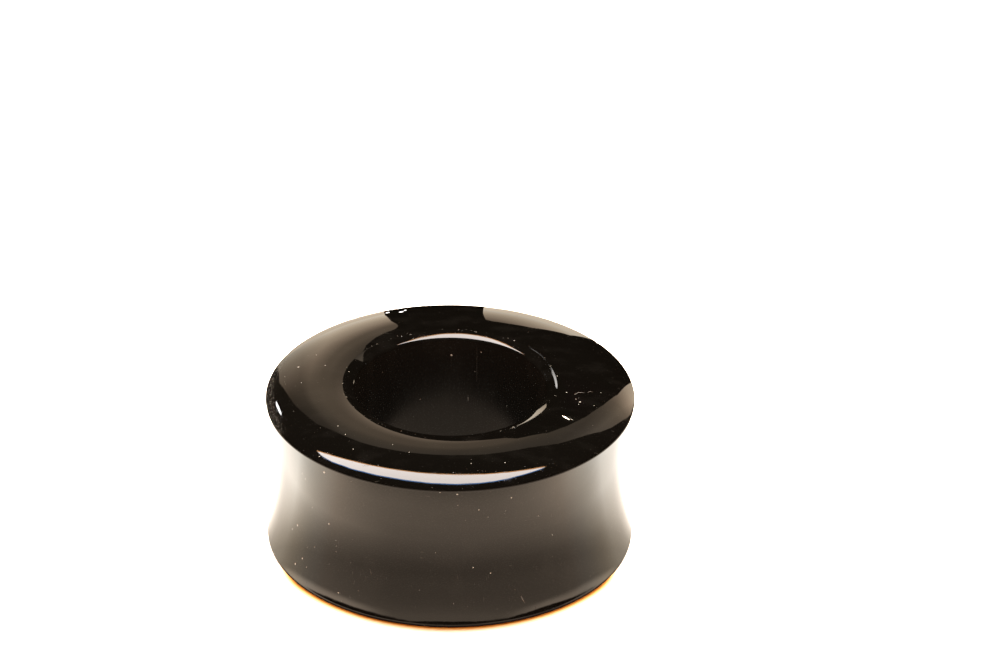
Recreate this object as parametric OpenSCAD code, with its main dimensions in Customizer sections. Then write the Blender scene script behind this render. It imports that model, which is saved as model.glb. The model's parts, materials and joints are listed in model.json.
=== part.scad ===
// Double flared ear tunnel, turned and polished from one piece of black stone.
// It stands on one flat face. The axis of the hole is Z, and the origin is on
// that axis, in the plane that the tunnel stands on. All sizes are millimetres.

/* [Overall] */
// Diameter over the two flares, the widest part
flare_d = 28; // [26.8:0.1:34]
// Diameter at the waist, where the ear lobe sits
waist_d = 26.2; // [18:0.1:27.6]
// Length of the tunnel, from one flat face to the other
tunnel_length = 14.2; // [6:0.1:30]

/* [Hole] */
// Diameter of the hole through the middle
bore_d = 14.5; // [4:0.1:15.4]
// Width of the bevel around each end of the hole, measured across the face
bevel_width = 0.9; // [0.3:0.05:1.2]
// Depth of the bevel, from its outer edge down to the wall of the hole
bevel_depth = 0.37; // [0.24:0.01:0.9]
// Radius to which polishing has bulged the bevel
bevel_round = 6.9; // [3:0.1:20]
// Radius that takes the sharpness off both edges of the bevel
bevel_edge_round = 0.3; // [0.1:0.05:0.5]

/* [Faces] */
// Outer diameter of the flat land that the tunnel stands on
land_d = 19.5; // [18.4:0.1:26]
// Width of the flat land
land_width = 0.5; // [0.2:0.05:1.1]
// How far the face falls from the land in to the bevel
fall_depth = 0.055; // [0.02:0.005:0.12]

/* [Flares] */
// Radius of the polished shoulder that falls from the land to the rim
shoulder_round = 8.6; // [4.8:0.1:20]
// Radius that takes the sharpness off the rim of each flare
rim_round = 0.2; // [0.1:0.05:1.5]

/* [Hidden] */
$fn = 192;

middle = tunnel_length / 2;
flare_r = flare_d / 2;
waist_r = waist_d / 2;
bore_r = bore_d / 2;
mouth_r = bore_r + bevel_width;
land_r = land_d / 2;
land_inner_r = land_r - land_width;

// A disc that eases an edge stands this much proud of the arcs beside it, so that
// it crosses them cleanly: two curves that only touch leave a sliver between them
overlap = 0.0002;

// Cuts reach this far past the stone
clear = 1;

// Directions in the plane of the section, as angles from the way out from the axis
function aim(angle) = [cos(angle), sin(angle)];
function lean(from, to) = atan2(to.y - from.y, to.x - from.x);

// The fall is an arc that starts level with the land and ends at the bevel
fall_width = land_inner_r - mouth_r;
fall_round = (pow(fall_width, 2) + pow(fall_depth, 2)) / (2 * fall_depth);
fall_centre = [land_inner_r, tunnel_length - fall_round + overlap];

// The bevel is an arc from its outer edge to the wall, a little proud of the chord
bevel_top = [mouth_r, tunnel_length - fall_depth];
bevel_foot = [bore_r, bevel_top.y - bevel_depth];
bevel_slope = lean(bevel_foot, bevel_top);
bevel_sink = sqrt(pow(bevel_round, 2) - pow(norm(bevel_top - bevel_foot) / 2, 2));
bevel_centre = (bevel_top + bevel_foot) / 2 + bevel_sink * aim(bevel_slope - 90);
bevel_reach = bevel_round - bevel_edge_round + overlap;

// The bevel's outer edge is eased by a disc inside both the fall and the bevel
fall_reach = fall_round - bevel_edge_round + overlap;
centre_gap = norm(bevel_centre - fall_centre);
edge_turn = acos((pow(fall_reach, 2) + pow(centre_gap, 2) - pow(bevel_reach, 2))
    / (2 * fall_reach * centre_gap));
edge_centre = fall_centre + fall_reach * aim(lean(fall_centre, bevel_centre) + edge_turn);

// Its inner edge is eased by a disc inside the bevel that touches the wall
wall_x = bore_r + bevel_edge_round;
wall_centre = [wall_x, bevel_centre.y + sqrt(pow(bevel_reach, 2) - pow(bevel_centre.x - wall_x, 2))];

// The shoulder is an arc that starts level with the land, and the rim's disc is inside it
shoulder_centre = [land_r, tunnel_length - shoulder_round];
shoulder_reach = shoulder_round - rim_round + overlap;
rim_x = flare_r - rim_round;
rim_centre = [rim_x, shoulder_centre.y + sqrt(pow(shoulder_reach, 2) - pow(rim_x - land_r, 2))];

// The saddle is one hollow arc that meets both rims and reaches in to the waist
rim_rise = rim_centre.y - middle;
waist_step = rim_x - waist_r;
rim_reach = rim_round - overlap;
saddle_round = (pow(waist_step, 2) + pow(rim_rise, 2) - pow(rim_reach, 2))
    / (2 * (waist_step + rim_reach));
saddle_centre = [waist_r + saddle_round, middle];

// A rectangle of the section, from its lower inner corner to its upper outer one
module block(inner, outer, low, high) {
    translate([inner, low])
        square([outer - inner, high - low]);
}

// A full circle of the section
module disc(centre, round) {
    translate(centre)
        circle(r = round);
}

// What is cut away above an arc, between two distances from the axis
module above_arc(centre, round, inner, outer, foot) {
    difference() {
        block(inner, outer, foot, tunnel_length + clear);
        disc(centre, round);
    }
}

// The stone of the upper half, to one side of the axis, with its edges still sharp
module sharp_section() {
    difference() {
        block(bore_r, flare_r, middle, tunnel_length);
        above_arc(bevel_centre, bevel_round, 0, mouth_r, bevel_foot.y);
        above_arc(fall_centre, fall_round, 0, land_inner_r, bevel_foot.y);
        above_arc(shoulder_centre, shoulder_round, land_r, flare_r + clear, rim_centre.y);
        disc(saddle_centre, saddle_round);
    }
}

// Eases one edge of the section: the corner is cut back to the chord between two
// normals of a disc, and the disc fills it out again
module eased(centre, round, first, last) {
    difference() {
        children();
        polygon([
            centre + round * aim(first),
            centre + 3 * round * aim(first),
            centre + 3 * round * aim(last),
            centre + round * aim(last)
        ]);
    }
    disc(centre, round);
}

// The section of the upper half with its three edges eased
module half_section() {
    eased(rim_centre, rim_round, lean(rim_centre, saddle_centre), lean(shoulder_centre, rim_centre))
        eased(edge_centre, bevel_edge_round, lean(fall_centre, edge_centre), lean(bevel_centre, edge_centre))
            eased(wall_centre, bevel_edge_round, lean(bevel_centre, wall_centre), 180)
                sharp_section();
}

// The whole tunnel, the same above and below its middle
module stone_tunnel() {
    color([0.05, 0.045, 0.045])
        rotate_extrude()
            for (flip = [0, 1])
                translate([0, flip * tunnel_length])
                    mirror([0, flip])
                        half_section();
}

stone_tunnel();
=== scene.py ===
import json
import math

import bmesh
import bpy
from bpy.props import FloatProperty, FloatVectorProperty, IntProperty, PointerProperty
from mathutils import Matrix, Vector


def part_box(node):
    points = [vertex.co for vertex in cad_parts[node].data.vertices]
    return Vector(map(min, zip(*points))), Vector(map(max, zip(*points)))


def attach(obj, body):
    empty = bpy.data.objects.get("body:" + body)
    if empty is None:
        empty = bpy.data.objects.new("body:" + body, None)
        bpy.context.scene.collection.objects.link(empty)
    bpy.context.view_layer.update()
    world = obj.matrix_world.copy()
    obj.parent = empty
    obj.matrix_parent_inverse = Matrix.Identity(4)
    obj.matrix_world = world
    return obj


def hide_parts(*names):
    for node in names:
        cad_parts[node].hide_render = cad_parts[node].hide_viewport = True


bl_info = {
    "name": "Ear Tunnel",
    "version": (1, 0, 0),
    "blender": (4, 5, 0),
    "location": "3D View > Sidebar > Ear Tunnel",
    "description": "Turns a polished black stone ear tunnel and sets a small table top studio round it",
    "category": "Object",
}

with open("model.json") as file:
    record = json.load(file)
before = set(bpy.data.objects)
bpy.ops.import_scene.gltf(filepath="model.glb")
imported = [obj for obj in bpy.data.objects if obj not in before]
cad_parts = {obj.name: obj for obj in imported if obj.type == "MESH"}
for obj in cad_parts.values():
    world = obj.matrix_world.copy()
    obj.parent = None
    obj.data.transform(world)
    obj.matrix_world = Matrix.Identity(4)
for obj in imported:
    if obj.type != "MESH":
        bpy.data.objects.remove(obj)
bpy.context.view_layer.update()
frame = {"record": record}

NODE = "stone_tunnel"
BODY = "root"
MM = 0.001


def mount_dims(name):
    """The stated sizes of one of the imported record's mounts, in millimetres."""
    return next(m["dims"] for m in frame["record"]["mounts"] if m["name"] == name)


LOW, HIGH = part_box(NODE)
FLARE_D = HIGH.x - LOW.x
TUNNEL_LENGTH = HIGH.z - LOW.z
HOLE_D = 2 * mount_dims("bore")["r_mm"] * MM
WAIST_D = 2 * mount_dims("lobe_saddle")["r_mm"] * MM


# Settings


def length(name, description, default):
    """A size, shown with its unit."""
    return FloatProperty(name=name, description=description, default=default, unit="LENGTH", precision=5)


def angle(name, description, degrees):
    """An angle, shown in degrees."""
    return FloatProperty(name=name, description=description, default=math.radians(degrees), subtype="ANGLE")


def tone(name, description, default):
    """A colour, shown with a swatch."""
    return FloatVectorProperty(
        name=name, description=description, subtype="COLOR", size=3, min=0, soft_max=1, default=default
    )


def share(name, description, default):
    """A setting between 0 and 1, shown as a slider."""
    return FloatProperty(name=name, description=description, default=default, subtype="FACTOR", min=0, max=1)


def radiance(name, description, default):
    """How brightly one of the studio's lights glows."""
    return FloatProperty(name=name, description=description, default=default, min=0)


class TunnelSizes(bpy.types.PropertyGroup):
    """Sizes of the stone."""

    flare_d: length("Flare Diameter", "Across the two flares", FLARE_D)
    waist_d: length("Waist Diameter", "Where the lobe sits", WAIST_D)
    tunnel_length: length("Length", "From face to face", TUNNEL_LENGTH)
    bore_d: length("Hole Diameter", "Of the hole right through", HOLE_D)
    bevel_width: length("Bevel Width", "Of the hole's bevel, across the face", 0.9 * MM)
    bevel_depth: length("Bevel Depth", "From the bevel's outer edge down to the wall", 0.37 * MM)
    bevel_round: length("Bevel Round", "Radius to which the bevel bulges", 6.9 * MM)
    bevel_edge_round: length("Bevel Edge Round", "Radius of both edges of the bevel", 0.3 * MM)
    land_d: length("Land Diameter", "Outer diameter of the flat land", 19.5 * MM)
    land_width: length("Land Width", "Of the flat land", 0.5 * MM)
    fall_depth: length("Fall Depth", "From the land in to the bevel", 0.055 * MM)
    shoulder_round: length("Shoulder Round", "Radius of the dome from the land to the rim", 8.6 * MM)
    rim_round: length("Rim Round", "Radius of the eased edge of each flare", 0.2 * MM)
    turns: IntProperty(name="Facets Round", description="Faces round the axis", default=440, min=24)


class StoneFinish(bpy.types.PropertyGroup):
    """Colour, polish and wear of the stone."""

    stone_colour: tone("Stone", "Colour of the stone itself", (0.0007, 0.0006, 0.0005))
    polish: share("Roughness", "Roughness of the cleanest polish", 0.02)
    hole_roughness: share("Hole Roughness", "Roughness of the wall of the hole, which is less polished", 0.2)
    smears: share("Smears", "Roughness that smears add to the polish", 0.05)
    waves: length("Waves", "Height of the slow waves that hand polishing left", 0.03 * MM)
    dust_colour: tone("Dust", "Colour of the dust and of fine wear", (0.1, 0.095, 0.088))
    chip_colour: tone("Chips", "Colour of the stone where it is freshly chipped", (0.5, 0.48, 0.45))
    dust: share("Dust Cover", "Share of the places where a speck could lie that hold one", 0.3)
    wear: share("Edge Wear", "How much of the two rims is frosted", 0.2)


class StudioSettings(bpy.types.PropertyGroup):
    """Table, lights and camera."""

    table_colour: tone("Table", "Colour of the pale table", (0.86, 0.86, 0.86))
    tent_colour: tone("Tent Colour", "Of the low light that creeps under the flare", (1.0, 0.42, 0.16))
    tent_power: radiance("Tent", "Radiance of the low pale wall all round the table", 8.0)
    high_tent_colour: tone("High Tent Colour", "Of the paper above the low wall", (1.0, 0.92, 0.8))
    high_tent_power: radiance("High Tent", "Radiance of the paper above the low wall", 18.0)
    overhead_colour: tone("Overhead Colour", "Of the round lamp straight above", (0.96, 1.0, 0.88))
    overhead_power: radiance("Overhead", "Radiance of the round lamp straight above", 62.0)
    soft_box_colour: tone("Soft Box Colour", "Of the soft box in the polish", (1.0, 0.9, 0.84))
    soft_box_power: radiance("Soft Box", "Radiance of the soft box in the polish", 89.0)
    backdrop_power: radiance("Backdrop", "Radiance of the backdrop where it is brightest", 4.0)
    pool_power: radiance("Table in the Polish", "Radiance that its brightness is a share of", 25.0)
    side_lamp_power: radiance("Side Lamp", "Radiance of the small lamp at the left", 60.0)
    glint_power: radiance("Glints", "Radiance of the small bright edges close behind the tunnel", 16.0)
    room_colour: tone("Room Colour", "Of the dim room", (1.0, 0.82, 0.6))
    room_level: radiance("Room", "Radiance of the dim room", 0.1)
    camera_elevation: angle("Camera Elevation", "Above the table", 29.45)
    camera_roll: angle("Camera Roll", "Turn about the line of sight", 0.55)
    camera_distance: length("Camera Distance", "To the point looked at", 380 * MM)
    camera_lens: FloatProperty(name="Lens", description="Focal length", default=181.66, unit="CAMERA")


# Nodes as Python expressions


class Wire:
    """The output of a node. Arithmetic on it adds Math nodes to the same tree."""

    def __init__(self, bench, socket):
        self.bench = bench
        self.socket = socket

    def other(self, name):
        """Another output of the same node."""
        return Wire(self.bench, self.socket.node.outputs[name])

    def __add__(self, value):
        return self.bench.math("ADD", self, value)

    def __radd__(self, value):
        return self.bench.math("ADD", value, self)

    def __sub__(self, value):
        return self.bench.math("SUBTRACT", self, value)

    def __rsub__(self, value):
        return self.bench.math("SUBTRACT", value, self)

    def __mul__(self, value):
        return self.bench.math("MULTIPLY", self, value)

    def __rmul__(self, value):
        return self.bench.math("MULTIPLY", value, self)

    def __truediv__(self, value):
        return self.bench.math("DIVIDE", self, value)

    def __rtruediv__(self, value):
        return self.bench.math("DIVIDE", value, self)


class Bench:
    """Adds nodes to one tree. A value is a number, a tuple or a Wire."""

    def __init__(self, tree):
        self.tree = tree

    def add(self, kind, settings=None, values=None, output=0):
        """A new node with its settings made first and then its sockets filled. Gives one output."""
        node = self.tree.nodes.new(kind)
        for name, value in (settings or {}).items():
            if name == "stops":
                self.set_stops(node.color_ramp.elements, value)
            else:
                setattr(node, name, value)
        for name, value in (values or {}).items():
            self.fill(node.inputs[name], value)
        return Wire(self, node.outputs[output])

    def fill(self, socket, value):
        """Links a Wire, or each of several, to the socket, and sets any other value on it."""
        for one in value if isinstance(value, list) else [value]:
            if isinstance(one, Wire):
                self.tree.links.new(one.socket, socket)
            else:
                socket.default_value = one

    def set_stops(self, elements, stops):
        """Gives a ramp its stops, each a place and a colour."""
        for place, colour in stops[1:-1]:
            elements.new(place)
        for element, (place, colour) in zip(elements, stops):
            element.position = place
            element.color = (*colour, 1.0)

    def math(self, operation, *values):
        """A number worked out from others."""
        return self.add("ShaderNodeMath", {"operation": operation}, dict(enumerate(values)))

    def vector(self, operation, *values, output=0):
        """A vector worked out from others, or its Value."""
        return self.add("ShaderNodeVectorMath", {"operation": operation}, dict(enumerate(values)), output)

    def scaled(self, vector, by):
        """A vector or a colour times a number."""
        return self.add("ShaderNodeVectorMath", {"operation": "SCALE"}, {0: vector, "Scale": by})

    def combine(self, x=0.0, y=0.0, z=0.0):
        """A vector from its X, Y and Z."""
        return self.add("ShaderNodeCombineXYZ", values={"X": x, "Y": y, "Z": z})

    def part(self, vector, axis):
        """The X, Y or Z of a vector."""
        return self.add("ShaderNodeSeparateXYZ", values={0: vector}, output=axis)

    def mix_colour(self, amount, first, second, blend_type="MIX"):
        """The first colour with so much of the second."""
        settings = {"data_type": "RGBA", "blend_type": blend_type}
        return self.add("ShaderNodeMix", settings, {"Factor": amount, 6: first, 7: second}, output=2)


def rise(bench, value, low, high):
    """Rises smoothly from 0 at the one value to 1 at the other, which may be the smaller of the two."""
    return bench.add(
        "ShaderNodeMapRange",
        {"interpolation_type": "SMOOTHSTEP"},
        {"Value": value, "From Min": low, "From Max": high},
    )


def most(bench, first, second):
    """The larger of two values."""
    return bench.math("MAXIMUM", first, second)


# The stone's shape


# Chips in the edges, in millimetres: centre, reach and depth
CHIPS = (
    ((8.9, -5.25, 14.2), 0.3, 0.03),
    ((-13.75, -1.9, 13.0), 0.35, 0.04),
    ((11.2, 8.2, 13.05), 0.22, 0.04),
    ((-9.8, 9.8, 1.15), 0.35, 0.05),
    ((4.9, -6.5, 14.14), 0.16, 0.03),
)
# Faces along each stretch of the section
WALL_STEPS = 2
MOUTH_EDGE_STEPS = 8
BEVEL_STEPS = 10
BEVEL_EDGE_STEPS = 4
FALL_STEPS = 6
LAND_STEPS = 2
SHOULDER_STEPS = 34
RIM_STEPS = 16
SADDLE_STEPS = 25
# The saddle's first face beside the rim is this narrow, so that the rim's smooth shading ends there
RIM_SEAM_ANGLE = 0.004
LEVEL = math.pi / 2


def new_geometry_tree(name, inputs):
    """A Geometry Nodes tree with named inputs, its Bench, and a Wire for each input."""
    tree = bpy.data.node_groups.new(name, "GeometryNodeTree")
    tree.interface.new_socket(name="Geometry", in_out="OUTPUT", socket_type="NodeSocketGeometry")
    for title, kind in inputs:
        tree.interface.new_socket(name=title, in_out="INPUT", socket_type="NodeSocket" + kind)
    bench = Bench(tree)
    entry = tree.nodes.new("NodeGroupInput")
    return tree, bench, {title: Wire(bench, entry.outputs[title]) for title, kind in inputs}


def arc(bench, steps, centre, radius, first, last):
    """A stretch of the section that is part of a circle, from one direction to another."""
    curve = bench.add(
        "GeometryNodeCurveArc",
        {"mode": "RADIUS"},
        {"Resolution": steps + 1, "Radius": radius, "Start Angle": first, "Sweep Angle": last - first},
    )
    place = bench.combine(*centre)
    return bench.add("GeometryNodeTransform", values={"Geometry": curve, "Translation": place})


def straight(bench, steps, start, end):
    """A straight stretch of the section."""
    ends = {"Start": bench.combine(*start), "End": bench.combine(*end)}
    line = bench.add("GeometryNodeCurvePrimitiveLine", values=ends)
    return bench.add("GeometryNodeResampleCurve", {"mode": "COUNT"}, {"Curve": line, "Count": steps + 1})


def lean(bench, start, end):
    """The direction from one point of the section to another, turned from the way out from the axis."""
    return bench.math("ARCTAN2", end[1] - start[1], end[0] - start[0])


def leg(bench, long_side, short_side):
    """The third side of a triangle with a right angle, from its longest side and another."""
    return bench.math("SQRT", long_side * long_side - short_side * short_side)


def touching_disc(bench, first, first_reach, second, second_reach):
    """The point at the two given distances from two others, on the side towards the axis."""
    x, y = second[0] - first[0], second[1] - first[1]
    gap = bench.math("SQRT", x * x + y * y)
    cosine = (first_reach * first_reach + gap * gap - second_reach * second_reach) / (2 * first_reach * gap)
    turn = lean(bench, first, second) + bench.math("ARCCOSINE", cosine)
    return (
        first[0] + first_reach * bench.math("COSINE", turn),
        first[1] + first_reach * bench.math("SINE", turn),
    )


def mouth_stretches(bench, size, half, land_inner):
    """The hole's wall, its bevel with both edges eased, and the fall of the face, up to the land."""
    hole, ease = size["Hole Diameter"] / 2, size["Bevel Edge Round"]
    mouth = hole + size["Bevel Width"]
    fall_width, fall_depth = land_inner - mouth, size["Fall Depth"]
    fall_round = (fall_width * fall_width + fall_depth * fall_depth) / (2 * fall_depth)
    fall = (land_inner, half - fall_round)

    bevel_round, width, depth = size["Bevel Round"], size["Bevel Width"], size["Bevel Depth"]
    chord = bench.math("SQRT", width * width + depth * depth)
    sink = leg(bench, bevel_round, chord / 2)
    bevel = (
        hole + width / 2 + sink * depth / chord,
        half - fall_depth - depth / 2 - sink * width / chord,
    )
    edge = touching_disc(bench, fall, fall_round - ease, bevel, bevel_round - ease)
    wall_x = hole + ease
    wall = (wall_x, bevel[1] + leg(bench, bevel_round - ease, bevel[0] - wall_x))

    wall_lean, bevel_lean = lean(bench, bevel, wall), lean(bench, bevel, edge)
    fall_lean = lean(bench, fall, edge)
    return [
        straight(bench, WALL_STEPS, (hole, 0.0), (hole, wall[1])),
        arc(bench, MOUTH_EDGE_STEPS, wall, ease, math.pi, wall_lean),
        arc(bench, BEVEL_STEPS, bevel, bevel_round, wall_lean, bevel_lean),
        arc(bench, BEVEL_EDGE_STEPS, edge, ease, bevel_lean, fall_lean),
        arc(bench, FALL_STEPS, fall, fall_round, fall_lean, LEVEL),
    ]


def flare_stretches(bench, size, half, land):
    """The rounded shoulder, the eased rim and the hollow saddle, from the land down to the waist."""
    shoulder_round, rim_round = size["Shoulder Round"], size["Rim Round"]
    shoulder = (land, half - shoulder_round)
    rim_x = size["Flare Diameter"] / 2 - rim_round
    rim = (rim_x, shoulder[1] + leg(bench, shoulder_round - rim_round, rim_x - land))
    waist = size["Waist Diameter"] / 2
    step = rim_x - waist
    saddle_round = (step * step + rim[1] * rim[1] - rim_round * rim_round) / (2 * (step + rim_round))
    saddle = (waist + saddle_round, 0.0)

    shoulder_lean, saddle_lean = lean(bench, shoulder, rim), lean(bench, saddle, rim)
    seam = saddle_lean + RIM_SEAM_ANGLE
    return [
        arc(bench, SHOULDER_STEPS, shoulder, shoulder_round, LEVEL, shoulder_lean),
        arc(bench, RIM_STEPS, rim, rim_round, shoulder_lean, saddle_lean - math.pi),
        arc(bench, 1, saddle, saddle_round, saddle_lean, seam),
        arc(bench, SADDLE_STEPS, saddle, saddle_round, seam, math.pi),
    ]


def section_stretches(bench, size):
    """The upper half of the section, from the middle of the hole's wall out to the waist.

    Its X is the distance from the axis and its Y the height above the middle of the length.
    """
    half = size["Length"] / 2
    land = size["Land Diameter"] / 2
    land_inner = land - size["Land Width"]
    flat_land = straight(bench, LAND_STEPS, (land_inner, half), (land, half))
    mouth = mouth_stretches(bench, size, half, land_inner)
    return [*mouth, flat_land, *flare_stretches(bench, size, half, land)]


SIZE_NAMES = (
    "flare_d", "waist_d", "tunnel_length", "bore_d", "bevel_width", "bevel_depth", "bevel_round",
    "bevel_edge_round", "land_d", "land_width", "fall_depth", "shoulder_round", "rim_round",
)


def label(group, name):
    """What the panel calls a setting, which is also its input's name in the nodes."""
    return group.bl_rna.properties[name].name


def chipped(bench, shape):
    """The stone with its small chips pressed into its edges."""
    place = bench.add("GeometryNodeInputPosition")
    normal = bench.add("GeometryNodeInputNormal")
    for centre, reach, depth in CHIPS:
        away = bench.vector("DISTANCE", place, tuple(MM * c for c in centre), output="Value")
        dent = rise(bench, away, reach * MM, 0.25 * reach * MM) * (-depth * MM)
        offset = bench.scaled(normal, dent)
        shape = bench.add("GeometryNodeSetPosition", values={"Geometry": shape, "Offset": offset})
    return shape


def closed_section(bench, size):
    """The whole section as one closed curve: the upper half and its mirror image, joined."""
    half_curve = bench.add("GeometryNodeJoinGeometry", values={0: section_stretches(bench, size)[::-1]})
    half = bench.add("GeometryNodeCurveToMesh", values={"Curve": half_curve})
    mirrored = bench.add("GeometryNodeTransform", values={"Geometry": half, "Scale": (1, -1, 1)})
    whole = bench.add("GeometryNodeJoinGeometry", values={0: [half, mirrored]})
    loop = bench.add("GeometryNodeMergeByDistance", values={"Geometry": whole, "Distance": 0.001 * MM})
    return bench.add("GeometryNodeMeshToCurve", values={"Mesh": loop})


def turning_tree():
    """The nodes that turn the stone: its section is swept round the axis on a small circle."""
    inputs = [(label(TunnelSizes, name), "Float") for name in SIZE_NAMES]
    inputs += [("Facets Round", "Int"), ("Stone", "Material")]
    tree, bench, size = new_geometry_tree("turn_the_stone", inputs)
    section = closed_section(bench, size)
    path = bench.add(
        "GeometryNodeCurvePrimitiveCircle",
        {"mode": "RADIUS"},
        {"Resolution": size["Facets Round"], "Radius": 1 * MM},
    )
    inset = bench.add("GeometryNodeTransform", values={"Geometry": section, "Translation": (-1 * MM, 0, 0)})
    ring = bench.add("GeometryNodeCurveToMesh", values={"Curve": path, "Profile Curve": inset})
    lift = bench.combine(z=size["Length"] / 2)
    lifted = bench.add("GeometryNodeTransform", values={"Geometry": ring, "Translation": lift})
    smooth = bench.add("GeometryNodeSetShadeSmooth", values={"Geometry": chipped(bench, lifted)})
    whole_stone = bench.add("GeometryNodeRealizeInstances", values={"Geometry": smooth})
    finished = bench.add(
        "GeometryNodeSetMaterial", values={"Geometry": whole_stone, "Material": size["Stone"]}
    )
    leave = tree.nodes.new("NodeGroupOutput")
    bench.fill(leave.inputs["Geometry"], finished)
    return tree


def set_input(modifier, name, value):
    """Gives a Geometry Nodes modifier the value of one named input."""
    socket = modifier.node_group.interface.items_tree[name]
    modifier[socket.identifier] = value


def plain_mesh(holder, name):
    """The evaluated result of a holder's modifiers as one plain mesh object; the holder is removed."""
    graph = bpy.context.evaluated_depsgraph_get()
    mesh = bpy.data.meshes.new_from_object(holder.evaluated_get(graph))
    bpy.data.objects.remove(holder)
    mesh.name = name
    piece = bpy.data.objects.new(name, mesh)
    bpy.context.scene.collection.objects.link(piece)
    return piece


def outward(mesh):
    """Whether the faces of a closed mesh point outwards."""
    shape = bmesh.new()
    shape.from_mesh(mesh)
    volume = shape.calc_volume(signed=True)
    shape.free()
    return volume > 0


# The stone's finish, in millimetres


# Specks that show best: centre and radius
SPECKS = (
    ((-11.6, 2.5, 13.9), 0.11), ((-10.3, 4.1, 14.1), 0.05), ((-10.6, 0.4, 14.1), 0.05),
    ((-12.3, -1.6, 13.7), 0.07), ((-12.9, -2.1, 13.4), 0.05), ((9.8, -2.8, 14.2), 0.1),
    ((9.5, -2.4, 14.2), 0.05), ((8.8, -1.4, 14.2), 0.06), ((10.7, -5.7, 13.8), 0.08),
    ((11.4, -1.1, 14.0), 0.06), ((-9.2, -10.3, 12.3), 0.12), ((-10.9, -7.8, 10.7), 0.07),
    ((-10.2, -8.3, 8.0), 0.06), ((-8.9, -9.6, 7.4), 0.08), ((-11.4, -6.6, 5.4), 0.09),
    ((-11.8, -6.0, 4.7), 0.06), ((-11.0, -7.8, 3.2), 0.09), ((-11.6, -7.3, 2.4), 0.1),
    ((-10.7, -8.4, 2.8), 0.06), ((-8.2, -11.0, 2.2), 0.07), ((0.4, -12.5, 13.7), 0.06),
    ((0.7, -13.9, 12.7), 0.08), ((4.7, -12.9, 11.8), 0.1), ((2.3, -13.3, 11.0), 0.06),
    ((1.7, -11.6, 14.0), 0.06), ((4.2, -11.3, 13.9), 0.06), ((1.9, -13.0, 5.8), 0.06),
    ((3.2, -12.8, 5.2), 0.06), ((-0.9, -13.1, 7.1), 0.05), ((0.0, 7.25, 12.4), 0.09),
    ((2.3, 6.9, 12.9), 0.06), ((-2.4, 6.9, 11.6), 0.06),
)
# Where dust lies thickest, the same way
DUSTY_SPOTS = (
    ((-11.0, -7.6, 4.6), 4.4),
    ((2.4, -13.3, 11.6), 3.4),
    ((3.0, -11.5, 13.9), 2.6),
    ((9.9, -2.2, 14.2), 2.4),
)
# Hairs and scratches: both ends and half the width
LINES = (
    ((9.4, -1.7, 14.2), (9.7, -1.4, 14.2), 0.022),
    ((9.7, -1.4, 14.2), (10.3, -1.45, 14.2), 0.022),
    ((10.3, -1.45, 14.2), (10.6, -1.15, 14.15), 0.022),
    ((10.6, -1.15, 14.15), (11.1, -1.3, 14.05), 0.022),
    ((7.4, -10.8, 8.1), (7.6, -10.6, 7.5), 0.035),
    ((7.6, -10.6, 7.5), (7.9, -10.5, 7.0), 0.025),
    ((5.5, -12.4, 2.9), (5.8, -12.4, 2.3), 0.017),
    ((-5.8, -11.9, 4.9), (-5.7, -12.0, 4.5), 0.017),
    ((1.3, 7.1, 9.2), (1.3, 7.15, 8.3), 0.022),
)
# The fresh nick in the face, the same way
NICK = (
    ((8.6, -5.05, 14.2), (8.95, -5.35, 14.2), 0.1),
    ((8.45, -4.9, 14.2), (9.35, -5.5, 14.17), 0.035),
)
HALF_LENGTH = TUNNEL_LENGTH / MM / 2
# Distances from the axis between which a place comes to count as the wall of the hole
WALL_OUT = (7.45, 7.35)
# Distances from the axis, and from the middle of the length, between which it comes to count as a rim
RIM_OUT = (13.2, 13.75)
RIM_OFF_MIDDLE = (5.55, 5.85)
# Where at the left, by X, the rims' wear comes to its most
WORN_LEFT = (-11.6, -12.8)
# How far from the axis the outer edge of the bevel crumbles a little
MOUTH_EDGE = 8.13
# Index of refraction, set below real stone's to keep the reflections as faint as the photograph shows them
POLISH_IOR = 1.18


def new_material(name):
    """An empty material and the Bench of its nodes."""
    material = bpy.data.materials.new(name)
    material.use_nodes = True
    material.node_tree.nodes.clear()
    return material, Bench(material.node_tree)


def finish_material(material, bench, shader):
    """Links a shader to the material's output."""
    leave = material.node_tree.nodes.new("ShaderNodeOutputMaterial")
    bench.fill(leave.inputs["Surface"], shader)
    return material


def noise(bench, place, scale, detail=2.0):
    """Soft random shades around a half."""
    return bench.add("ShaderNodeTexNoise", values={"Vector": place, "Scale": scale, "Detail": detail})


def stretched_noise(bench, place, stretch, detail):
    """Soft random shades drawn out along the directions in which the stretch is small."""
    return noise(bench, bench.vector("MULTIPLY", place, stretch), 1.0, detail)


def speck(bench, place, centre, radius):
    """A round mark with a soft edge."""
    return rise(bench, bench.vector("DISTANCE", place, centre, output="Value"), radius, 0.4 * radius)


def line(bench, place, start, end, half_width):
    """A straight mark between two points."""
    reach = Vector(end) - Vector(start)
    away = bench.vector("SUBTRACT", place, start)
    along = bench.vector("DOT_PRODUCT", away, tuple(reach / reach.length_squared), output="Value")
    nearest = bench.scaled(tuple(reach), bench.add("ShaderNodeClamp", values={"Value": along}))
    return rise(bench, bench.vector("DISTANCE", away, nearest, output="Value"), half_width, 0.3 * half_width)


def scattered_specks(bench, place, spacing, cover, size):
    """Specks of many sizes, with at most one in each cell of a loose net."""
    cells = bench.add("ShaderNodeTexVoronoi", values={"Vector": place, "Scale": 1 / spacing})
    draws = bench.add("ShaderNodeSeparateColor", values={"Color": cells.other("Color")})
    chosen = bench.math("LESS_THAN", draws, cover)
    radius = (draws.other("Green") * 0.7 + 0.3) * size / spacing
    return rise(bench, cells, radius, radius * 0.4) * chosen


def hairlines(bench, place, stretch, cover):
    """Sparse fine lines, which run the way in which the noise is stretched."""
    return rise(bench, stretched_noise(bench, place, stretch, 1.0), 1 - cover, 1 - cover + 0.06)


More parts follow.
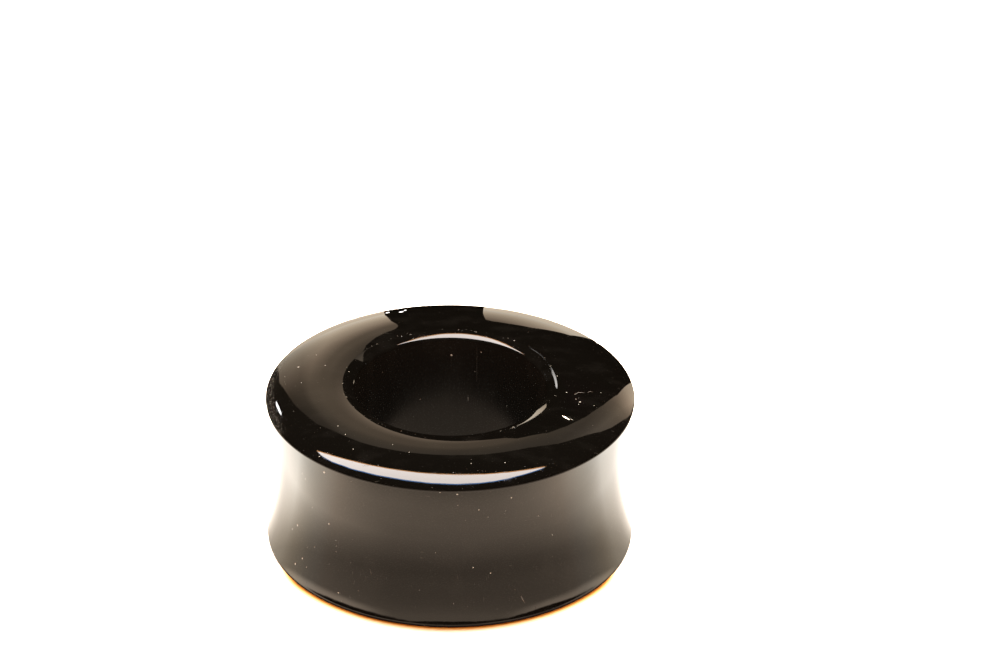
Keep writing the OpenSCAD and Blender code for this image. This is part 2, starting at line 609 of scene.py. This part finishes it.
def thick_dust(bench, place):
    """How thick dust lies, from 0 to 1."""
    thick = rise(bench, noise(bench, place, 0.35, 3.0) - bench.part(place, "X") * 0.012, 0.4, 0.75)
    for centre, reach in DUSTY_SPOTS:
        thick = most(bench, thick, speck(bench, place, centre, reach))
    return thick


def lying_specks(bench, place, dust):
    """Dust, more of it where it lies thick, with the specks and hairs that show best."""
    thick = thick_dust(bench, place)
    specks = scattered_specks(bench, place, 0.6, thick * dust + 0.03, 0.065)
    specks = most(bench, specks, scattered_specks(bench, place, 0.42, thick * dust * 0.8, 0.045) * 0.5)
    for centre, radius in SPECKS:
        specks = most(bench, specks, speck(bench, place, centre, radius))
    for start, end, half_width in LINES:
        specks = most(bench, specks, line(bench, place, start, end, half_width) * 0.55)
    return specks


def edge_wear(bench, place, out, off_middle, grain, wear):
    """Frost on both rims, most of it at the left, and crumbs along the outer edge of each bevel."""
    at_rim = rise(bench, out, *RIM_OUT) * rise(bench, off_middle, *RIM_OFF_MIDDLE)
    at_left = rise(bench, bench.part(place, "X"), *WORN_LEFT)
    frosted = at_rim * rise(bench, grain + at_left * wear, 0.82, 0.9)
    near_mouth = rise(bench, bench.math("ABSOLUTE", out - MOUTH_EDGE), 0.16, 0.03)
    at_mouth = near_mouth * rise(bench, off_middle, HALF_LENGTH - 0.5, HALF_LENGTH - 0.3)
    crumbled = at_mouth * rise(bench, noise(bench, place, 5.0, 3.0), 0.66, 0.72)
    return most(bench, frosted, crumbled * 0.7)


def polishing_waves(bench, place, height):
    """What hand polishing left: slow waves with much lower quick ones on them."""
    slow, quick = noise(bench, place, 0.16, 1.0), noise(bench, place, 0.9, 2.0)
    return slow * height + quick * (height * 0.05)


def stone_material(finish):
    """Polished black stone with slow waves, smears, hairlines, dust and worn edges."""
    material, bench = new_material("polished_black_stone")
    place = bench.scaled(bench.add("ShaderNodeTexCoord", output="Object"), 1 / MM)
    out = bench.vector("LENGTH", bench.vector("MULTIPLY", place, (1, 1, 0)), output="Value")
    off_middle = bench.math("ABSOLUTE", bench.part(place, "Z") - HALF_LENGTH)
    on_wall = rise(bench, off_middle, HALF_LENGTH - 0.5, HALF_LENGTH - 0.62)
    in_hole = rise(bench, out, *WALL_OUT) * on_wall

    grain = noise(bench, place, 14.0, 2.0)
    smeared = rise(bench, stretched_noise(bench, place, (0.5, 0.9, 0.3), 4.0), 0.48, 0.72)
    specks = lying_specks(bench, place, finish.dust)
    upright = hairlines(bench, place, (9.0, 9.0, 0.12), 0.26)
    scratches = most(bench, upright, hairlines(bench, place, (0.3, 6.0, 4.0), 0.24))
    worn = edge_wear(bench, place, out, off_middle, grain, finish.wear)
    nick = most(bench, *[line(bench, place, *ends) for ends in NICK])

    dust_colour = (*finish.dust_colour, 1)
    haze = bench.mix_colour(in_hole * 0.006 + smeared * 0.004, (*finish.stone_colour, 1), dust_colour)
    dusty = most(bench, most(bench, specks, worn), scratches * 0.05)
    dusted = bench.mix_colour(dusty, haze, dust_colour)
    colour = bench.mix_colour(nick, dusted, (*finish.chip_colour, 1))

    streaks = stretched_noise(bench, place, (5.0, 5.0, 0.15), 2.0)
    marked = most(bench, specks, scratches * 0.3)
    roughness = finish.polish + smeared * finish.smears + marked * 0.4 + worn * 0.3
    roughness = most(bench, roughness, in_hole * ((streaks * 0.4 + 0.8) * finish.hole_roughness))

    height = polishing_waves(bench, place, finish.waves / MM)
    height = height + specks * 0.01 + worn * grain * 0.01 - scratches * 0.0006 + in_hole * streaks * 0.001
    normal = bench.add("ShaderNodeBump", values={"Strength": 1.0, "Distance": MM, "Height": height})
    surface = {"Base Color": colour, "Roughness": roughness, "IOR": POLISH_IOR, "Normal": normal}
    return finish_material(material, bench, bench.add("ShaderNodeBsdfPrincipled", values=surface))


# The studio, in metres where nothing else is said


# Most of the studio shows in the polish alone
IN_POLISH = {"glossy"}
# Sides of its large round pieces
ROUND_SIDES = 96
TABLE_SIZE = 3.0
# Painted contact shadow in the table's colour: how that colour changes from under the flare outwards, over a
# width
TABLE_PAINTED_SHADOW_WIDTH = 1.0 * MM
TABLE_PAINTED_SHADOW = (
    (0.0, (0.02, 0.005, 0.001)), (0.12, (0.13, 0.04, 0.006)), (0.28, (0.46, 0.19, 0.025)),
    (0.44, (0.8, 0.56, 0.24)), (0.6, (1.0, 0.82, 0.62)), (0.8, (1.0, 0.93, 0.87)), (1.0, (1.0, 1.0, 1.0)),
)
# In front the painted shadow lets the light come so far in under the flare, and behind it stops this far from
# the axis
TABLE_PAINTED_SHADOW_BACK = 1.95 * MM
TABLE_PAINTED_SHADOW_BEHIND = 12.5 * MM
# Distances from the axis between which the table comes to be plain again, without the painted shadow, inside
# the hole
TABLE_IN_HOLE = (9.6 * MM, 9.3 * MM)
# What lights the table: two walls all round it, up to these angles above it, and a round lamp
TENT_RADIUS = 1.2
TENT_ANGLE = 28
HIGH_TENT_ANGLE = 45
OVERHEAD_HEIGHT = 1.4
OVERHEAD_ANGLE = 12
# The table in the polish lies this deep, so that it is even along the hollow of the waist
POOL_DEPTH = 40 * MM
POOL_RADIUS = 2.6
# The height on the stone from which the polish is taken to look down
LOOK_HEIGHT = 7 * MM
# It ends in a wall between these angles
HORIZON_ANGLES = (-2, 0.3)
# Its brightness in front of and beside the tunnel, as a share, by how steeply the polish looks down at it
POOL_FRONT = (
    (0.0, 0.38), (0.03, 0.32), (0.07, 0.264), (0.14, 0.216), (0.21, 0.196), (0.32, 0.188),
    (0.42, 0.164), (0.51, 0.188), (0.6, 0.248), (0.78, 0.332), (1.0, 0.352), (1.3, 0.32),
    (1.7, 0.24), (2.2, 0.14), (4.0, 0.02),
)
# The same at its left
POOL_LEFT = (
    (0.0, 0.38), (0.06, 0.352), (0.1, 0.312), (0.15, 0.28), (0.2, 0.252), (0.32, 0.212),
    (0.42, 0.188), (0.5, 0.224), (0.6, 0.296), (0.78, 0.44), (1.0, 0.376), (1.3, 0.304),
    (1.7, 0.192), (2.2, 0.12), (4.0, 0.02),
)
# Its tint and its fading from the front, at 0, round to straight behind, at 1
POOL_TINT = (
    (0.4, (1.0, 0.79, 0.6)), (0.58, (1.0, 0.87, 0.71)), (0.75, (1.0, 0.93, 0.83)),
    (0.865, (0.62, 0.58, 0.53)), (0.945, (0.46, 0.43, 0.4)), (1.0, (0.4, 0.375, 0.345)),
)
# What its sides and the part behind are multiplied by, by steepness
POOL_ASIDE = (
    (0.0, (1.0, 0.88, 0.72)), (0.45, (1.0, 0.9, 0.77)), (0.75, (0.97, 0.94, 0.9)), (1.1, (0.8, 0.8, 0.79)),
    (4.0, (0.8, 0.8, 0.79)),
)
# Painted contact shadow in the reflected table, dark where the polish dips less than a limit: the limit in
# front, its growth towards the back, the most it grows to, and how far back it shrinks to nothing
FOOT_SHADOW = -0.008
FOOT_SHADOW_GROWTH = 0.19
FOOT_SHADOW_MOST = 0.3
FOOT_SHADOW_END = (0.95, 0.75)
FOOT_SHADOW_SOFTNESS = 0.012
# Just past the limit a band glows brighter: between which dips, how far aside and by how much
FOOT_BAND = (0.06, 0.01)
FOOT_BAND_ASIDE = (0.5, 0.95)
FOOT_BAND_GAIN = 1.5
# Close to the tunnel and in its hole a disc lies over it: its reach at the sides and in front, and its depth
FOOTING_SIDE = 13.6 * MM
FOOTING_FRONT = 18.8 * MM
FOOTING_DEPTH = 0.02 * MM
# Its radiance from the axis out to its reach in front: a painted reflection, dark as painted shadow under the
# flare
FOOTING_GLOW = (
    (0.0, (3.0, 2.4, 1.85)), (0.44, (2.4, 1.9, 1.45)), (0.48, (0.02, 0.01, 0.01)),
    (0.64, (0.03, 0.012, 0.006)), (0.7, (0.12, 0.05, 0.02)), (0.8, (0.6, 0.3, 0.15)), (1.0, (1.0, 0.6, 0.35)),
)
# The soft box as seen from the tunnel: its corners right of and behind it, as shares of its height
SOFT_BOX = (
    (-0.612, 0.58), (-0.46, 0.487), (-0.33, 0.41), (-0.22, 0.362), (-0.12, 0.328), (0.0, 0.306),
    (0.12, 0.298), (0.22, 0.312), (0.392, 0.354), (0.3, 0.25), (0.245, 0.19), (0.19, 0.15), (0.13, 0.128),
    (0.03, 0.108), (-0.08, 0.12), (-0.19, 0.16), (-0.31, 0.222), (-0.435, 0.30), (-0.55, 0.41), (-0.6, 0.505),
)
SOFT_BOX_HEIGHT = 0.7
# A coloured edge on each side of the soft box: how far back it shows and its colour
SOFT_BOX_EDGES = ((0.02, (0.62, 0.3, 0.12)), (-0.02, (0.1, 0.2, 0.42)))
# They hang this much higher, so that the soft box hides all but their edges
SOFT_BOX_EDGE_LIFT = 1.001
# The backdrop behind: its corners right of and above the tunnel, as shares of its distance
BACKDROP = (
    (-0.34, 0.0), (-0.43, 0.35), (-0.42, 0.7), (-0.364, 0.909), (-0.268, 0.932), (-0.176, 0.991), (0.0, 1.0),
    (0.176, 1.089), (0.268, 1.15), (0.364, 1.18), (0.466, 1.143), (0.577, 1.089), (0.675, 1.012), (0.72, 0.9),
    (0.72, 0.0),
)
BACKDROP_DISTANCE = 0.8
# Its colour at heights that are shares of its distance
BACKDROP_COLOURS = (
    (0.0, (0.8, 0.7, 0.56)), (0.18, (0.97, 0.78, 0.57)), (0.36, (1.0, 0.77, 0.55)),
    (0.47, (0.82, 0.61, 0.43)), (0.6, (0.52, 0.39, 0.27)), (0.75, (0.4, 0.31, 0.22)),
    (1.0, (0.4, 0.32, 0.24)),
)
# How bright it is at places across it, from 0 at its distance left to 1 at its distance right
BACKDROP_SIDES = (
    (0.3, 0.55), (0.37, 0.75), (0.41, 1.2), (0.46, 1.2), (0.5, 1.0), (0.66, 1.15), (0.73, 1.7), (0.79, 2.6),
    (0.85, 2.6),
)
# The small lamp at the left: its corners as azimuths and elevations in degrees
SIDE_LAMP = ((-29.6, 22.8), (-31.4, 24.4), (-33.8, 28.6), (-34.4, 30.0), (-32.9, 29.2), (-30.9, 26.2))
SIDE_LAMP_DISTANCE = 0.7
# A dark card close behind the tunnel, in millimetres: its corners right of and above the tunnel
DARK_CARD = (
    (-5.9, 4.0), (-5.6, 11.7), (-5.65, 14.1), (-5.1, 16.6), (-4.3, 18.4), (-4.6, 18.9), (-5.2, 19.3),
    (-5.85, 20.0), (-6.25, 21.3), (-5.8, 22.6), (-4.8, 23.8), (-2.6, 25.1), (1.6, 26.7), (4.35, 28.7),
    (6.8, 29.6), (9.8, 31.6), (12.5, 31.7), (15.4, 30.1), (18.1, 26.6), (19.7, 21.6), (19.5, 14.0),
    (19.3, 4.0), (12.5, 4.0), (12.4, 10.0), (11.9, 12.1), (10.3, 14.8), (6.6, 16.9), (4.6, 17.4),
    (3.2, 17.5), (2.65, 17.2), (2.5, 15.0), (2.5, 4.0),
)
DARK_CARD_BEHIND = 16.0
# Painted highlights in front of it, in millimetres: a glowing sliver's corners, and glowing dots with their
# radius
SLIVER = ((4.4, 18.7), (4.75, 18.95), (5.25, 18.2), (4.8, 18.0))
SLIVER_BEHIND = 9.0
DOTS = ((-5.35, 13.3, 0.17), (-4.25, 13.9, 0.2), (-3.9, 13.5, 0.12))
DOTS_BEHIND = 15.9
# The point that the camera looks at
CAMERA_AIM = Vector((3.73 * MM, 0, 18.45 * MM))


def from_axis(bench):
    """A place, its distance from the tunnel's axis, and its way out there, as Wires."""
    place = bench.add("ShaderNodeTexCoord", output="Object")
    level = bench.vector("MULTIPLY", place, (1, 1, 0))
    return place, bench.vector("LENGTH", level, output="Value"), bench.vector("NORMALIZE", level)


def stepped(bench, value, stops):
    """A colour or a shade that runs through the given stops, each a value and what it is there."""
    span = stops[-1][0]
    colours = [(at / span, tint if isinstance(tint, tuple) else (tint,) * 3) for at, tint in stops]
    return bench.add("ShaderNodeValToRGB", {"stops": colours}, {"Fac": value / span})


def times(bench, first, second):
    """The product of two colours."""
    return bench.mix_colour(1.0, first, second, "MULTIPLY")


def finish_glow(material, bench, colour, strength):
    """Makes the material a light."""
    light = bench.add("ShaderNodeEmission", values={"Color": colour, "Strength": strength})
    return finish_material(material, bench, light)


def glow_material(name, colour, strength):
    """A plain light of one colour."""
    material, bench = new_material(name)
    return finish_glow(material, bench, (*colour, 1), strength)


def table_material(colour):
    """Smooth pale card with a painted shadow in its colour: warm and then dark where the flare keeps the
    light off it.
    """
    material, bench = new_material("pale_table")
    place, distance, way = from_axis(bench)
    shifted = bench.vector("DISTANCE", place, (0, TABLE_PAINTED_SHADOW_BACK, 0), output="Value")
    in_front = (shifted - FLARE_D / 2) / TABLE_PAINTED_SHADOW_WIDTH
    behind = (distance - TABLE_PAINTED_SHADOW_BEHIND) / TABLE_PAINTED_SHADOW_WIDTH
    to_back = rise(bench, bench.part(way, "Y"), -0.55, -0.15)
    painted_shadow = stepped(bench, in_front + (behind - in_front) * to_back, TABLE_PAINTED_SHADOW)
    plain = (*colour, 1)
    in_hole = rise(bench, distance, *TABLE_IN_HOLE)
    shown = bench.mix_colour(in_hole, times(bench, painted_shadow, plain), plain)
    shader = bench.add("ShaderNodeBsdfPrincipled", values={"Base Color": shown, "Roughness": 0.9})
    return finish_material(material, bench, shader)


def foot_light(bench, dip, side, back):
    """0 in the painted contact shadow at the stone's foot, brighter beside it at both sides, and 1 everywhere
    else.
    """
    grown = bench.math("MINIMUM", (back + 1) * FOOT_SHADOW_GROWTH + FOOT_SHADOW, FOOT_SHADOW_MOST)
    past_limit = dip - grown * rise(bench, back, *FOOT_SHADOW_END)
    aside = rise(bench, bench.math("ABSOLUTE", side), *FOOT_BAND_ASIDE)
    band = aside * rise(bench, past_limit, *FOOT_BAND)
    return (band * FOOT_BAND_GAIN + 1) * rise(bench, past_limit, -FOOT_SHADOW_SOFTNESS, 0.0)


# Painted reflection: a glowing card, seen only in the polish, stands in for the lit table
def pool_material(power):
    """The table in the polish: its brightness follows how steeply and to which side the polish looks down."""
    material, bench = new_material("pool")
    place, distance, way = from_axis(bench)
    side, back, height = bench.part(way, "X"), bench.part(way, "Y"), bench.part(place, "Z")
    reach = most(bench, distance - FLARE_D / 2, 1 * MM)
    steepness = (LOOK_HEIGHT + POOL_DEPTH) / reach
    dip = (LOOK_HEIGHT - height) / reach
    front, left = stepped(bench, steepness, POOL_FRONT), stepped(bench, steepness, POOL_LEFT)
    glow = bench.mix_colour(rise(bench, side, -0.5, -0.95), front, left)
    glow = times(bench, glow, stepped(bench, back * 0.5 + 0.5, POOL_TINT))
    aside = stepped(bench, steepness, POOL_ASIDE)
    glow = times(bench, glow, bench.mix_colour(rise(bench, back, -0.1, 0.4), (1, 1, 1, 1), aside))
    material.cycles.emission_sampling = "NONE"
    return finish_glow(material, bench, bench.scaled(glow, foot_light(bench, dip, side, back)), power)


def footing_material():
    """Painted reflection of the table by the tunnel and in its hole, dark where little light falls."""
    material, bench = new_material("footing")
    distance = from_axis(bench)[1]
    material.cycles.emission_sampling = "NONE"
    return finish_glow(material, bench, stepped(bench, distance / FOOTING_FRONT, FOOTING_GLOW), 1)


def backdrop_material(power):
    """Pale paper, lit from below: brightest low down and dimmer towards its left and its top."""
    material, bench = new_material("backdrop")
    place = bench.add("ShaderNodeTexCoord", output="Object")
    across, up = (bench.part(place, axis) / BACKDROP_DISTANCE for axis in "XZ")
    sides = stepped(bench, across * 0.5 + 0.5, BACKDROP_SIDES)
    return finish_glow(material, bench, times(bench, stepped(bench, up, BACKDROP_COLOURS), sides), power)


def card(name, corners, faces, material, seen_by):
    """Part of the studio and not of the tunnel. Only the named kinds of ray see it."""
    mesh = bpy.data.meshes.new(name)
    mesh.from_pydata([Vector(c) for c in corners], [], faces)
    mesh.materials.append(material)
    piece = bpy.data.objects.new(name, mesh)
    bpy.context.scene.collection.objects.link(piece)
    piece.visible_camera = "camera" in seen_by
    piece.visible_diffuse = "diffuse" in seen_by
    piece.visible_glossy = "glossy" in seen_by
    piece.visible_transmission = False
    piece.visible_shadow = "shadow" in seen_by


def flat_card(name, corners, material, seen_by):
    """A card with one flat face."""
    card(name, corners, [list(range(len(corners)))], material, seen_by)


def steps_round(sides):
    """So many equal steps of a full turn, as angles."""
    return [2 * math.pi * k / sides for k in range(sides)]


def round_wall(name, low, high, material, seen_by):
    """A wall all the way round the table, from one angle above it to another."""
    levels = [TENT_RADIUS * math.tan(math.radians(limit)) for limit in (low, high)]
    sides, turns = ROUND_SIDES, steps_round(ROUND_SIDES)
    corners = [(TENT_RADIUS * math.cos(t), TENT_RADIUS * math.sin(t), z) for z in levels for t in turns]
    faces = [(k, (k + 1) % sides, sides + (k + 1) % sides, sides + k) for k in range(sides)]
    card(name, corners, faces, material, seen_by)


def ring_corners(centre, axis, radius, sides):
    """Points round a circle."""
    turn = axis.to_track_quat("Z", "Y")
    around = steps_round(sides)
    return [centre + turn @ Vector((radius * math.cos(t), radius * math.sin(t), 0)) for t in around]


def footing_corners():
    """The outline of the table close to the tunnel, which reaches farther in front."""
    corners = []
    for turn in steps_round(ROUND_SIDES):
        ahead = min(max((-math.sin(turn) - 0.1) / 0.4, 0), 1)
        reach = FOOTING_SIDE + (FOOTING_FRONT - FOOTING_SIDE) * ahead
        corners.append((reach * math.cos(turn), reach * math.sin(turn), -FOOTING_DEPTH))
    return corners


def toward(azimuth, elevation, distance):
    """The point in a direction from the tunnel, its azimuth turned from straight behind to the right."""
    a, e = math.radians(azimuth), math.radians(elevation)
    middle = Vector((0, 0, TUNNEL_LENGTH))
    return middle + distance * Vector((math.sin(a) * math.cos(e), math.cos(a) * math.cos(e), math.sin(e)))


def standing(points, behind, unit):
    """Corners of a card that stands behind the tunnel, given right of it and above its foot."""
    return [(x * unit, behind * unit, z * unit) for x, z in points]


def set_table(studio):
    """The pale table, and what lights it: two walls all round and a lamp straight above."""
    half = TABLE_SIZE / 2
    corners = [(-half, -half, 0), (half, -half, 0), (half, half, 0), (-half, half, 0)]
    flat_card("table", corners, table_material(studio.table_colour), {"camera", "diffuse", "shadow"})
    low = glow_material("tent", studio.tent_colour, studio.tent_power)
    round_wall("tent", 0, TENT_ANGLE, low, {"camera", "diffuse"})
    high = glow_material("high_tent", studio.high_tent_colour, studio.high_tent_power)
    round_wall("high_tent", TENT_ANGLE, HIGH_TENT_ANGLE, high, {"camera", "diffuse"})
    reach = OVERHEAD_HEIGHT * math.tan(math.radians(OVERHEAD_ANGLE))
    above = ring_corners(Vector((0, 0, OVERHEAD_HEIGHT)), Vector((0, 0, 1)), reach, 48)
    overhead = glow_material("overhead", studio.overhead_colour, studio.overhead_power)
    flat_card("overhead", above, overhead, {"diffuse"})


def set_table_in_polish(studio):
    """The table as the polish sees it: out to the horizon, and close to the tunnel."""
    pool = pool_material(studio.pool_power)
    round_pool = ring_corners(Vector((0, 0, -POOL_DEPTH)), Vector((0, 0, 1)), POOL_RADIUS, ROUND_SIDES)
    flat_card("pool", round_pool, pool, IN_POLISH)
    round_wall("horizon", *HORIZON_ANGLES, pool, IN_POLISH)
    flat_card("footing", footing_corners(), footing_material(), IN_POLISH)


def set_soft_box(studio):
    """The soft box, and just above it the two coloured sheets that show past its long sides."""
    sheets = [("soft_box", 0.0, 1.0, studio.soft_box_colour)]
    sheets += [("soft_box_edge", shift, SOFT_BOX_EDGE_LIFT, colour) for shift, colour in SOFT_BOX_EDGES]
    height = SOFT_BOX_HEIGHT
    for name, shift, lift, colour in sheets:
        corners = [(x * height, (y + shift) * height, lift * height) for x, y in SOFT_BOX]
        flat_card(name, corners, glow_material(name, colour, studio.soft_box_power), IN_POLISH)


def set_background(studio):
    """What the polish sees behind: the backdrop, the small lamp, the dark card and the bright spots."""
    backdrop = standing(BACKDROP, 1, BACKDROP_DISTANCE)
    flat_card("backdrop", backdrop, backdrop_material(studio.backdrop_power), IN_POLISH)
    lamp = [toward(azimuth, elevation, SIDE_LAMP_DISTANCE) for azimuth, elevation in SIDE_LAMP]
    flat_card("side_lamp", lamp, glow_material("side_lamp", (1, 1, 1), studio.side_lamp_power), IN_POLISH)
    dark = glow_material("dark", (0, 0, 0), 0)
    flat_card("dark_card", standing(DARK_CARD, DARK_CARD_BEHIND, MM), dark, IN_POLISH)
    glint = glow_material("glint", (1, 0.95, 0.9), studio.glint_power)
    flat_card("sliver", standing(SLIVER, SLIVER_BEHIND, MM), glint, IN_POLISH)
    for x, z, radius in DOTS:
        dot = ring_corners(Vector((x, DOTS_BEHIND, z)) * MM, Vector((0, 1, 0)), radius * MM, 12)
        flat_card("dot", dot, glint, IN_POLISH)


def set_room(studio):
    """The dim light of the room."""
    world = bpy.data.worlds.new("dim_room")
    world.use_nodes = True
    background = world.node_tree.nodes["Background"]
    background.inputs["Color"].default_value = (*studio.room_colour, 1)
    background.inputs["Strength"].default_value = studio.room_level
    bpy.context.scene.world = world


def set_camera(studio):
    """The camera, at the photograph's angle to the tunnel."""
    elevation, roll = studio.camera_elevation, studio.camera_roll
    back = Vector((0, -math.cos(elevation), math.sin(elevation)))
    level_right = Vector((1, 0, 0))
    level_up = back.cross(level_right)
    right = level_right * math.cos(roll) + level_up * math.sin(roll)
    up = level_up * math.cos(roll) - level_right * math.sin(roll)
    camera = bpy.data.objects.new("camera", bpy.data.cameras.new("camera"))
    camera.data.lens = studio.camera_lens
    camera.data.sensor_width = 36
    camera.data.clip_start = 0.01
    turn = Matrix((right, up, back)).transposed().to_4x4()
    camera.matrix_world = Matrix.Translation(CAMERA_AIM + back * studio.camera_distance) @ turn
    bpy.context.scene.collection.objects.link(camera)
    bpy.context.scene.camera = camera


# Operators


class TurnStone(bpy.types.Operator):
    """Turn the stone from its sizes and give it its polish"""

    bl_idname = "tunnel.turn_stone"
    bl_label = "Turn stone"

    def execute(self, context):
        sizes = context.scene.tunnel_sizes
        holder = bpy.data.objects.new("turning", bpy.data.meshes.new("turning"))
        context.scene.collection.objects.link(holder)
        modifier = holder.modifiers.new("turn", "NODES")
        modifier.node_group = turning_tree()
        for name in SIZE_NAMES:
            set_input(modifier, label(TunnelSizes, name), getattr(sizes, name))
        set_input(modifier, "Facets Round", sizes.turns)
        set_input(modifier, "Stone", stone_material(context.scene.stone_finish))
        stone = plain_mesh(holder, "polished_stone")
        if not outward(stone.data):
            raise RuntimeError("the stone's faces point inwards")
        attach(stone, BODY)
        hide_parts(NODE)
        return {"FINISHED"}


class SetStudio(bpy.types.Operator):
    """Set the pale table, the lights and the camera"""

    bl_idname = "tunnel.set_studio"
    bl_label = "Set studio"

    def execute(self, context):
        studio = context.scene.studio_settings
        context.scene.view_settings.view_transform = "Standard"
        set_table(studio)
        set_table_in_polish(studio)
        set_soft_box(studio)
        set_background(studio)
        set_room(studio)
        set_camera(studio)
        return {"FINISHED"}


class TunnelPanel(bpy.types.Panel):
    """Settings and steps of the ear tunnel"""

    bl_idname = "VIEW3D_PT_ear_tunnel"
    bl_label = "Ear Tunnel"
    bl_space_type = "VIEW_3D"
    bl_region_type = "UI"
    bl_category = "Ear Tunnel"

    def draw(self, context):
        for title, group, operator in STEPS:
            box = self.layout.box()
            box.label(text=title)
            settings = getattr(context.scene, group)
            for name in settings.bl_rna.properties.keys():
                if name not in ("rna_type", "name"):
                    box.prop(settings, name)
            if operator:
                box.operator(operator)


STEPS = (
    ("Sizes", "tunnel_sizes", "tunnel.turn_stone"),
    ("Finish", "stone_finish", None),
    ("Studio", "studio_settings", "tunnel.set_studio"),
)
GROUPS = (
    ("tunnel_sizes", TunnelSizes),
    ("stone_finish", StoneFinish),
    ("studio_settings", StudioSettings),
)
CLASSES = (TurnStone, SetStudio, TunnelPanel)


def register():
    for name, group in GROUPS:
        bpy.utils.register_class(group)
        setattr(bpy.types.Scene, name, PointerProperty(type=group))
    for one in CLASSES:
        bpy.utils.register_class(one)


def unregister():
    for one in reversed(CLASSES):
        bpy.utils.unregister_class(one)
    for name, group in reversed(GROUPS):
        delattr(bpy.types.Scene, name)
        bpy.utils.unregister_class(group)


def main():
    register()
    bpy.ops.tunnel.turn_stone()
    bpy.ops.tunnel.set_studio()


if __name__ == "__main__":
    main()
